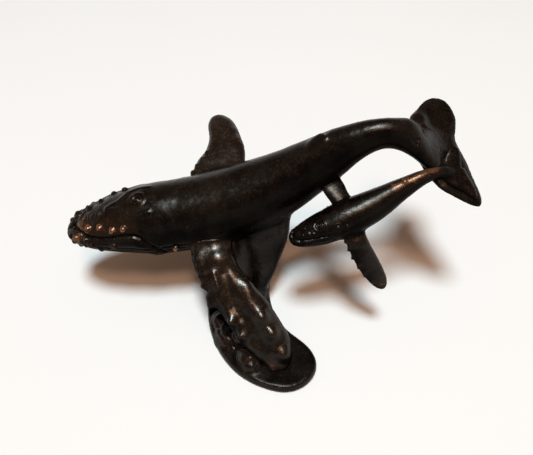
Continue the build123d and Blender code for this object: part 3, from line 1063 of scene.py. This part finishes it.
def mother_body() -> Casting:
    """The mother's body.

    Returns:
        The casting with her head's features and the marks of her back and tail.
    """
    mouth_line = (
        (0.02, 8.0), (0.03, 30.0), (0.044, 45.0), (0.058, 56.0), (0.071, 62.0), (0.097, 65.0), (0.128, 64.0),
        (0.161, 61.0), (0.18, 62.0), (0.195, 67.0), (0.215, 81.0), (0.23, 92.0), (0.243, 107.0),
        (0.254, 118.0),
    )
    brow = ((0.121, 2.0), (0.154, 10.0), (0.177, 28.0), (0.2, 30.0), (0.225, 26.0))
    lip_beads = ((0.069, 33.0), (0.099, 38.0), (0.131, 47.0), (0.159, 47.0))
    jaw_knobs = ((0.03, 60.0), (0.067, 79.0), (0.088, 94.0), (0.127, 78.0))
    chin_knobs = ((0.036, 70.0), (0.05, 86.0), (0.108, 92.0), (0.045, 52.0), (0.055, 66.0))
    snout_knobs = ((0.081, 4.0), (0.105, 8.0), (0.058, 0.0))
    warts = (
        WartRow(lip_beads, radius=0.85, height=0.15, wear=0.75, sides=Side.LEFT),
        WartRow(lip_beads, radius=0.85, height=0.15, wear=-0.1, sides=Side.RIGHT),
        WartRow(jaw_knobs, radius=0.75, height=0.2, wear=0.1),
        WartRow(chin_knobs, radius=0.55, height=0.4, wear=0.05),
        WartRow(((0.012, 60.0), (0.014, 95.0), (0.02, 130.0), (0.028, 108.0)), radius=0.7, height=0.5),
        WartRow(snout_knobs, radius=0.6, height=0.35, wear=0.2, sides=Side.LEFT),
        WartRow(((0.273, 96.0),), radius=1.0, height=0.6, wear=0.8),
    )
    dorsal_nub = ((16.9, -1.6, 51.4), (14.7, 2.0, 47.7))
    tail_swelling = ((41.0, -1.0, 53.4), (43.0, -0.6, 52.2))
    tail_groove = ((44.6, -1.2, 51.6), (45.4, -2.6, 51.0))
    tail_scar = ((41.0, -6.4, 51.4), (42.6, -6.2, 51.4), (42.3, -7.6, 50.6), (41.0, -6.4, 51.4))
    rubbed_jaw = ((-49.5, -4.0, 26.0), (-43.0, -6.0, 27.5), (-38.5, -6.5, 28.5))
    rubbed_snout = ((-53.0, -5.0, 25.0), (-53.6, -1.0, 26.0))
    return Animal(
        "mother_body",
        joints={
            "mother_left_flipper": 3.0, "mother_right_flipper": 3.0, "mother_flukes": 5.0, "wave_foot": 3.0,
            "calf_right_flipper": 0.8,
        },
        marks=(
            Mark(dorsal_nub, radius=5.0, wear=0.05, joined=True, soft=30),
            Mark(tail_swelling, radius=3.0, height=0.7, joined=True),
            Mark(tail_groove, radius=0.5, height=-0.7, joined=True),
            Mark(tail_scar, radius=0.35, height=-0.4, joined=True),
            Mark(rubbed_jaw, radius=3.6, wear=0.4, joined=True),
            Mark(rubbed_snout, radius=2.6, wear=0.5, joined=True),
        ),
        spine=MOTHER_SPINE,
        features=(
            Mouth(mouth_line),
            Pleats((80.0, 90.0, 100.0, 112.0, 124.0, 136.0, 150.0, 165.0)),
            Blowhole(share=0.197, brow=brow),
            Eyes((0.315, 59.0), size=0.6),
            Warts(warts),
        ),
    )


def mother_flippers() -> list[Casting]:
    """The mother's flippers.

    Returns:
        The left and the right one.
    """
    front_knobs = (
        (-18.2, -16.0, 22.1), (-18.1, -18.0, 20.9), (-17.9, -20.1, 19.5), (-17.5, -22.2, 17.6),
        (-16.3, -24.6, 15.2),
    )
    tip_knobs = ((-10.3, -31.4, 12.0), (-7.7, -34.8, 9.6))
    shoulder = ((-13.4, -16.1, 22.7), (-10.8, -16.2, 22.3))
    hollow = ((-11.7, -20.9, 20.0), (-10.6, -25.3, 17.2), (-9.3, -28.4, 15.0), (-7.6, -30.7, 13.3))
    front_ridge = ((-14.6, -20.0, 20.0), (-13.8, -23.5, 17.8))
    rear_ridge = (
        (-5.5, -23.6, 17.5), (-4.3, -26.8, 15.7), (-2.9, -30.2, 13.5), (-1.1, -33.4, 11.2), (1.1, -36.2, 8.9),
        (2.4, -38.6, 6.9),
    )
    rear_knobs = ((-2.3, -31.3, 12.7), (0.1, -35.3, 9.8), (3.0, -40.3, 5.8))
    far_knobs = ((-18.6, 10.8, 31.5), (-16.9, 12.6, 32.6), (-15.0, 14.6, 33.5), (-13.4, 17.0, 34.0))
    left = Casting(
        "mother_left_flipper",
        seed=2.0,
        uneven=0.42,
        joints={"mother_body": 3.0, "wave_foot": 1.5},
        marks=(
            Mark(front_knobs, radius=1.15, height=1.2, lean=(-0.98, -0.08, -0.17)),
            Mark(((-15.3, -25.6, 14.4),), radius=1.6, height=2.4, lean=(-0.72, -0.58, -0.38)),
            Mark(tip_knobs, radius=1.3, height=1.3, lean=(-0.86, -0.42, 0.25)),
            Mark(shoulder, radius=2.5, height=0.4, wear=0.05, joined=True),
            Mark(hollow, radius=2.0, height=-0.7, joined=True),
            Mark(front_ridge, radius=0.9, height=0.4, wear=0.05, joined=True),
            Mark(rear_ridge, radius=2.4, height=0.8, wear=0.05, joined=True),
            Mark(rear_knobs, radius=2.0, height=0.95),
            Mark(((-0.9, -41.9, 3.9),), radius=1.8, wear=0.6),
        ),
    )
    right = Casting(
        "mother_right_flipper",
        seed=3.0,
        uneven=0.3,
        joints={"mother_body": 3.0},
        marks=(
            Mark(far_knobs, radius=0.9, height=0.9, lean=(-0.79, 0.58, 0.18)),
            Mark(((-4.2, 22.7, 34.9),), radius=1.2, height=0.3, wear=0.6),
            Mark(((-10.7, 31.8, 35.6),), radius=2.5, wear=0.3),
        ),
    )
    return [left, right]


def mother_flukes() -> Casting:
    """The mother's flukes.

    Returns:
        The casting, with a swelling at the root of the far fluke.
    """
    root_swelling = ((46.3, 3.6, 48.3), (47.0, 5.6, 49.0))
    return Casting(
        "mother_flukes",
        seed=4.0,
        joints={"mother_body": 5.0, "calf_flukes": 0.8},
        edge_wear=0.35,
        marks=(Mark(root_swelling, radius=2.4, height=1.6, joined=True),),
    )


def calf_body() -> Casting:
    """The calf's body.

    Returns:
        The casting with the features of its head and a rubbed tail.
    """
    mouth_line = (
        (0.012, 10.0), (0.022, 42.0), (0.045, 62.0), (0.099, 68.0), (0.155, 70.0), (0.2, 72.0), (0.23, 90.0),
        (0.25, 108.0),
    )
    warts = (
        WartRow(((0.065, 34.0), (0.1, 36.0), (0.125, 47.0), (0.046, 24.0)), radius=0.4, height=0.12),
        WartRow(((0.03, 75.0), (0.07, 85.0), (0.11, 88.0)), radius=0.4, height=0.1),
        WartRow(((0.05, 0.0), (0.09, 0.0)), radius=0.4, height=0.12, sides=Side.LEFT),
        WartRow(((0.32, 58.0),), radius=0.5, height=0.35, wear=0.1),
    )
    rubbed_tail = ((36.0, -13.7, 42.3), (40.8, -12.6, 44.0), (47.5, -11.0, 44.9))
    dorsal_nub = ((38.5, -13.0, 43.3),)
    return Animal(
        "calf_body",
        voxel=0.22,
        seed=5.0,
        joints={"calf_left_flipper": 1.6, "calf_right_flipper": 0.8, "calf_flukes": 2.0},
        marks=(
            Mark(rubbed_tail, radius=1.8, wear=0.68, joined=True),
            Mark(dorsal_nub, radius=0.6, height=0.3, wear=0.4),
        ),
        spine=CALF_SPINE,
        features=(
            Mouth(mouth_line, width=0.3, depth=0.45, lip=0.3, snout_depth=0.7),
            Pleats((88.0, 104.0, 120.0, 138.0, 158.0), depth=0.16, width=0.25),
            Blowhole(share=0.173, size=1.5, rise=0.2, angle=22.0),
            Eyes((0.268, 52.0), size=0.5),
            Warts(warts),
        ),
    )


def calf_limbs() -> list[Casting]:
    """The calf's flippers and flukes.

    Returns:
        The left flipper, the right one and the flukes.
    """
    front_knobs = (
        (22.9, -20.5, 29.6), (23.5, -22.0, 27.8), (24.6, -23.3, 25.5), (26.4, -24.7, 22.9),
        (28.2, -26.1, 20.6), (30.6, -27.4, 18.6),
    )
    left = Casting(
        "calf_left_flipper",
        voxel=0.2,
        seed=6.0,
        joints={"calf_body": 1.6},
        marks=(
            Mark(front_knobs, radius=0.65, height=0.9, lean=(-0.82, -0.19, -0.54)),
            Mark(((32.6, -28.0, 17.9),), radius=2.0, wear=0.45),
        ),
    )
    right = Casting("calf_right_flipper", voxel=0.2, seed=7.0, joints={"calf_body": 0.8, "mother_body": 0.8})
    flukes = Casting(
        "calf_flukes", voxel=0.16, smooth=3, seed=8.0, joints={"calf_body": 2.0, "mother_flukes": 0.8}
    )
    return [left, right, flukes]


def wave_foot() -> Casting:
    """The foot.

    Returns:
        The casting with its rocks softened and then crested.
    """
    rocks = ((-14.2, -24.4, 4.2), (-12.6, -31.6, 4.6), (-8.9, -35.9, 2.8), (-6.5, -41.1, 3.6))
    rim = ((-15.9, -25.7, 3.4), (-14.8, -30.6, 4.1), (-13.0, -33.3, 3.4))
    long_crest = ((-14.2, -24.4, 4.2), (-13.4, -28.3, 4.3), (-12.6, -31.6, 4.6))
    round_crest = ((-11.7, -33.3, 3.6), (-8.9, -35.9, 2.8), (-7.1, -39.7, 4.4), (-6.5, -41.1, 3.6))
    return Wave(
        "wave_foot",
        voxel=0.35,
        seed=10.0,
        edge_wear=0.12,
        joints={"mother_body": 3.0},
        marks=(
            Mark(rocks, radius=3.4, joined=True, soft=25),
            Mark(rim, radius=0.45, height=0.6, wear=0.2, joined=True),
            Mark(long_crest, radius=1.4, height=1.0, wear=0.05, joined=True),
            Mark(round_crest, radius=1.9, height=1.1, wear=0.05, joined=True),
        ),
    )


def castings() -> list[Casting]:
    """Castings in the order that they are built."""
    return [mother_body(), *mother_flippers(), mother_flukes(), calf_body(), *calf_limbs(), wave_foot()]


@dataclass(frozen=True)
class Lamp:
    """Soft round lamp that hangs over the table and points at the object."""

    name: str
    place: Point
    size: float
    power: float
    tint: tuple[float, float, float]

    def build(self) -> None:
        """Hangs the lamp."""
        data = bpy.data.lights.new(self.name, "AREA")
        data.shape = "DISK"
        data.size = self.size
        data.energy = self.power
        data.color = self.tint
        made = bpy.data.objects.new(self.name, data)
        made.location = self.place
        made.rotation_euler = Vector(self.place).to_track_quat("Z", "Y").to_euler()
        bpy.context.scene.collection.objects.link(made)


@dataclass(frozen=True)
class Studio:
    """Pale table under a cool lamp overhead and a warm one in front of it. Lengths in metres."""

    floor_half: float = 2.0
    floor_cells: int = 8
    backdrop: Colour = rgba(0.85, 0.85, 0.84)
    backdrop_reach: Span = (0.35, 0.9)
    backdrop_height: Span = (0.0, 0.5)
    paper: Colour = rgba(0.965, 0.975, 0.975)
    shade: Colour = rgba(0.955, 0.965, 0.965)
    paper_cloud: Grain = Grain(6.0, 2.0)
    paper_range: Span = (0.3, 0.7)
    paper_rough: float = 0.75
    paper_shine: float = 0.2
    lamps: tuple[Lamp, ...] = (
        Lamp("key", (-0.03, -0.09, 1.5), 0.4, 17.8, (0.86, 1.0, 1.05)),
        Lamp("fill", (0.11, -0.5, 1.35), 0.3, 3.8, (1.0, 0.58, 0.36)),
    )
    horizon: Colour = rgba(0.13, 0.077, 0.05)
    zenith: Colour = rgba(0.23, 0.138, 0.092)
    room_height: Span = (0.3, 1.0)

    def build(self) -> None:
        """Makes the floor, the lights and the world."""
        self._floor()
        for lamp in self.lamps:
            lamp.build()
        self._world()

    def _floor(self) -> None:
        """Lays the table."""
        work = bmesh.new()
        cells = self.floor_cells
        bmesh.ops.create_grid(work, x_segments=cells, y_segments=cells, size=self.floor_half)
        mesh = bpy.data.meshes.new("floor")
        work.to_mesh(mesh)
        work.free()
        mesh.materials.append(self._paper())
        floor = bpy.data.objects.new("floor", mesh)
        bpy.context.scene.collection.objects.link(floor)

    def _paper(self) -> bpy.types.Material:
        """Paper of the table, which runs into the backdrop far from the object.

        Returns:
            The material.
        """
        graph = Graph.of("table_paper")
        where = graph.node("ShaderNodeTexCoord", None, None, "Object")
        tone = graph.mix(graph.noise(where, self.paper_cloud).ramp(*self.paper_range), self.shade, self.paper)
        paper = {"Base Color": tone, "Roughness": self.paper_rough, "Specular IOR Level": self.paper_shine}
        near = graph.node("ShaderNodeBsdfPrincipled", None, paper)
        far = graph.node("ShaderNodeEmission", None, {"Color": self.backdrop, "Strength": 1.0})
        reach = graph.node("ShaderNodeVectorMath", {"operation": "LENGTH"}, {0: where}, "Value")
        share = reach.ramp(*self.backdrop_reach) * graph.seen()
        return graph.finish(graph.node("ShaderNodeMixShader", None, {0: share, 1: near, 2: far}))

    def _world(self) -> None:
        """Surrounds the table with the warm light of a room, and shows a pale backdrop behind it."""
        world = bpy.data.worlds.new("studio")
        bpy.context.scene.world = world
        graph = Graph(world)
        where = graph.node("ShaderNodeTexCoord", None, None, "Generated")
        height = graph.node("ShaderNodeSeparateXYZ", None, {0: where}, "Z")
        room = graph.mix(height.ramp(*self.room_height), self.horizon, self.zenith)
        low = (1.0 - height.ramp(*self.backdrop_height)) * graph.seen()
        colour = graph.mix(low, room, self.backdrop)
        graph.finish(graph.node("ShaderNodeBackground", None, {"Color": colour, "Strength": 1.0}))


@dataclass(frozen=True)
class Eyepiece:
    """Camera that stands where the photograph was taken. Lens and sensor in millimetres, places in metres."""

    place: Point = (-0.0096, -0.1026, 0.13)
    forward: Point = (0.0815, 0.6641, -0.7431)
    lens: float = 32.42
    sensor: float = 36.0
    nearest: float = 0.005

    def build(self) -> None:
        """Sets the camera up and makes it the scene's own."""
        data = bpy.data.cameras.new("camera")
        data.lens = self.lens
        data.sensor_width = self.sensor
        data.sensor_fit = "HORIZONTAL"
        data.clip_start = self.nearest
        made = bpy.data.objects.new("camera", data)
        forward = Vector(self.forward).normalized()
        right = forward.cross(Vector((0.0, 0.0, 1.0))).normalized()
        up = right.cross(forward)
        turn = Matrix((right, up, -forward)).transposed().to_4x4()
        made.matrix_world = Matrix.Translation(Vector(self.place)) @ turn
        bpy.context.scene.collection.objects.link(made)
        bpy.context.scene.camera = made


def dress_pins(shown: Iterable[str], material: bpy.types.Material) -> None:
    """Gives the dowels, studs and tacks their finish.

    Args:
        shown: Names of the nodes that stay as they are.
        material: The finish.
    """
    for name in shown:
        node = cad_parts[name]
        node.data.materials.clear()
        node.data.materials.append(material)
        LOG.info("%s: dressed", name)


def main() -> None:
    """Builds the scene."""
    logging.basicConfig(level=logging.INFO, format="%(message)s")
    bpy.context.scene.view_settings.view_transform = "Standard"
    Eyepiece().build()
    Studio().build()
    bronze = Patina().material("bronze_patina")
    made = castings()
    for casting in made:
        casting.dress(casting.build(), bronze)
    covered = {casting.node for casting in made}
    dress_pins([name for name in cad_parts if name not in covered], DrawnRod().material("drawn_rod"))


if __name__ == "__main__":
    main()
